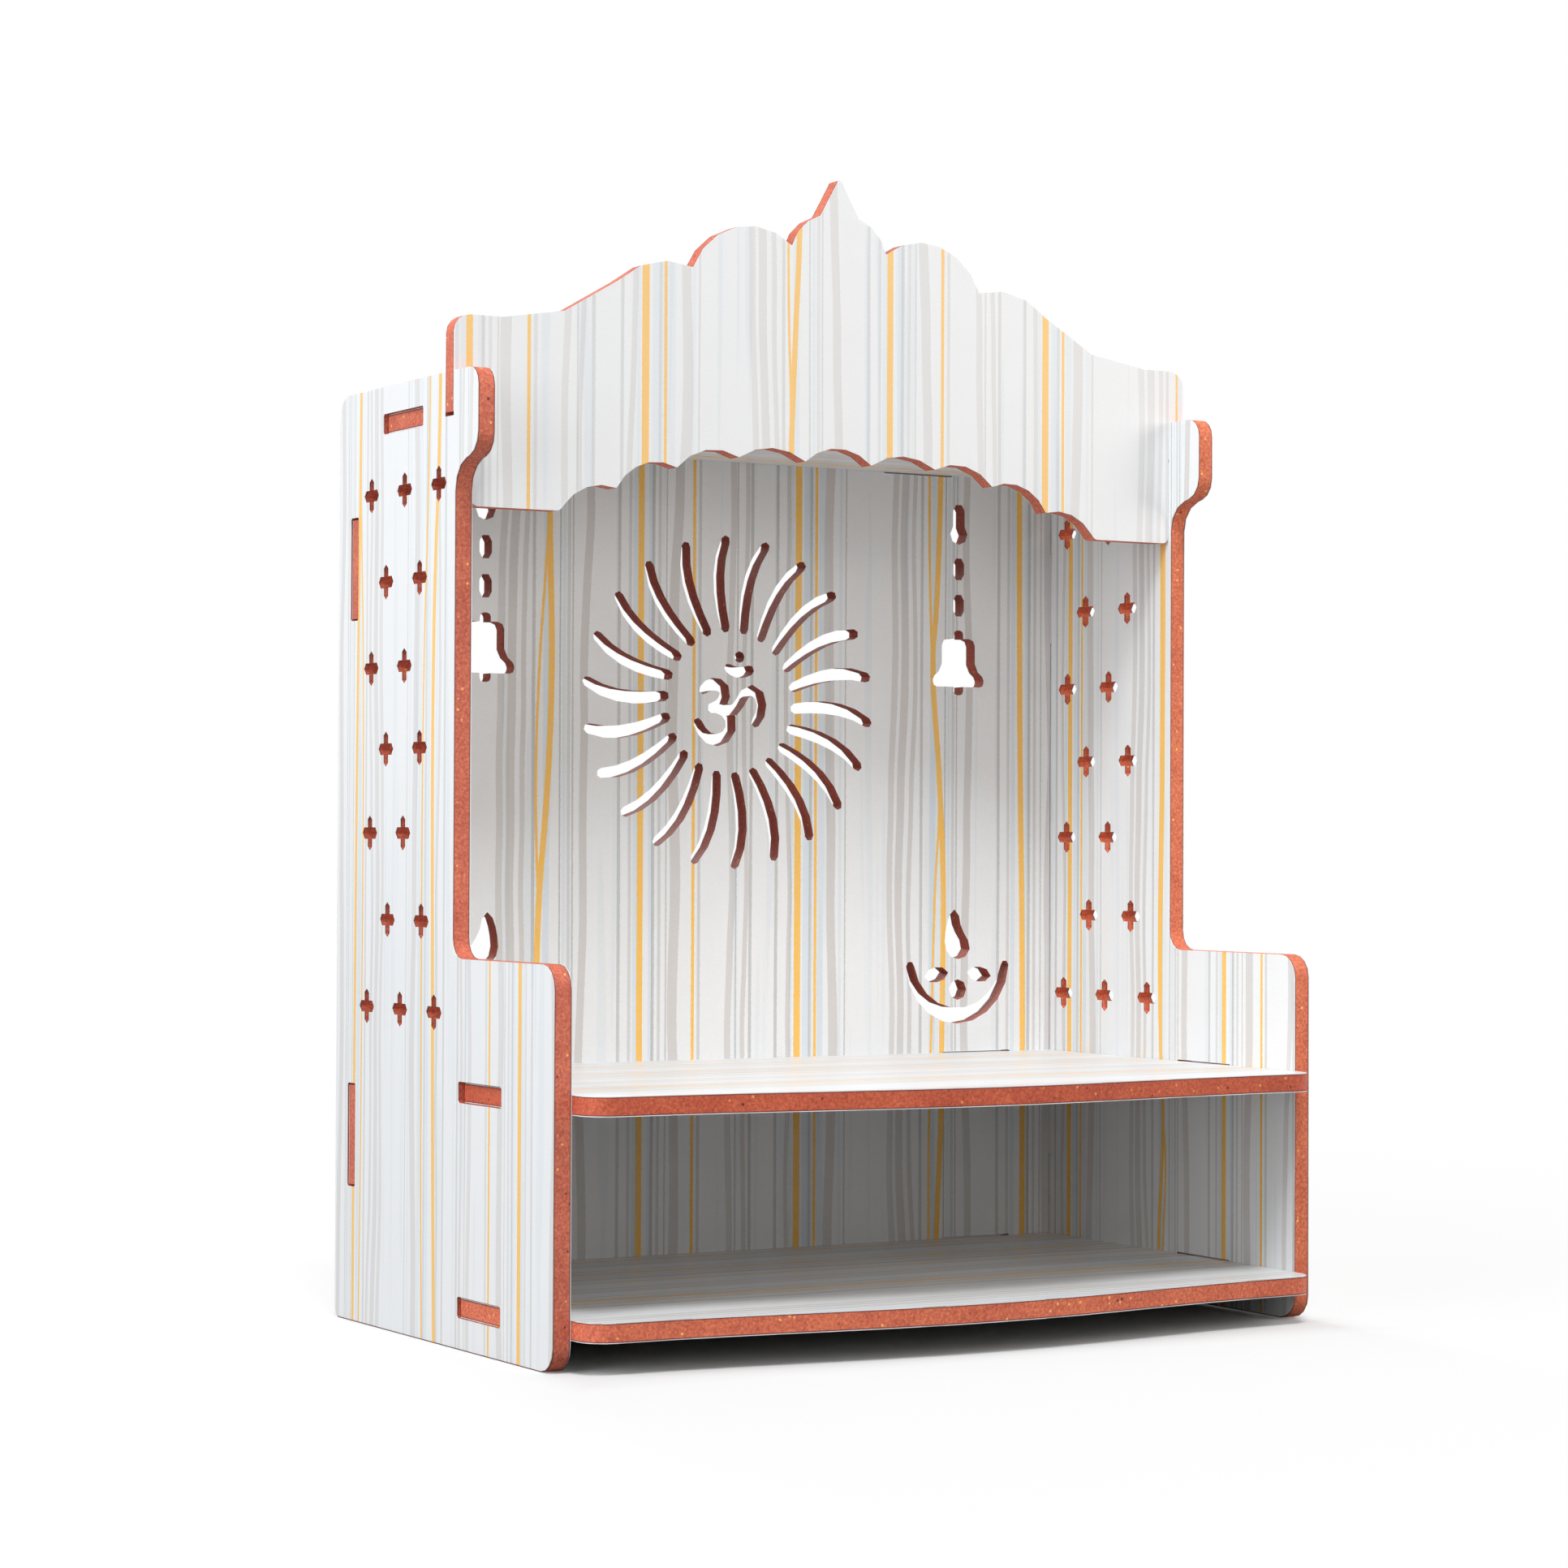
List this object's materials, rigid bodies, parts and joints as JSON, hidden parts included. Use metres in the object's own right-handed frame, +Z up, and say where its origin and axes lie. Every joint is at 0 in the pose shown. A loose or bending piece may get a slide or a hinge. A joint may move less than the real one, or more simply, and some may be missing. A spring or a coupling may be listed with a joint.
{
  "type": "tabletop household shrine (pooja mandir)",
  "caption": "Slotted-board household shrine with a scalloped arch and spire, a pierced sun back, shelf and open lower compartment.",
  "frame": {"origin": "on the floor, in the middle of the whole outline in plan", "axes": "+Z up, +Y to the back, open front faces -Y, +X to the right seen from the front"},
  "size_m": [0.3, 0.1956, 0.4023],
  "materials": {
    "board_core": "raw red-brown medium-density fibreboard edge, cut clean",
    "printed_foil": "satin printed foil, white with fine grey, beige and gold stripes"
  },
  "bodies": {
    "root": {"left_side_core": "board_core", "left_side_outer_foil": "printed_foil", "left_side_inner_foil": "printed_foil", "right_side_core": "board_core", "right_side_outer_foil": "printed_foil", "right_side_inner_foil": "printed_foil", "back_core": "board_core", "back_front_foil": "printed_foil", "back_rear_foil": "printed_foil", "arch_core": "board_core", "arch_front_foil": "printed_foil", "arch_rear_foil": "printed_foil", "roof_core": "board_core", "roof_top_foil": "printed_foil", "roof_under_foil": "printed_foil", "shelf_core": "board_core", "shelf_top_foil": "printed_foil", "shelf_under_foil": "printed_foil", "base_core": "board_core", "base_top_foil": "printed_foil", "base_under_foil": "printed_foil"}
  },
  "joints": []
}
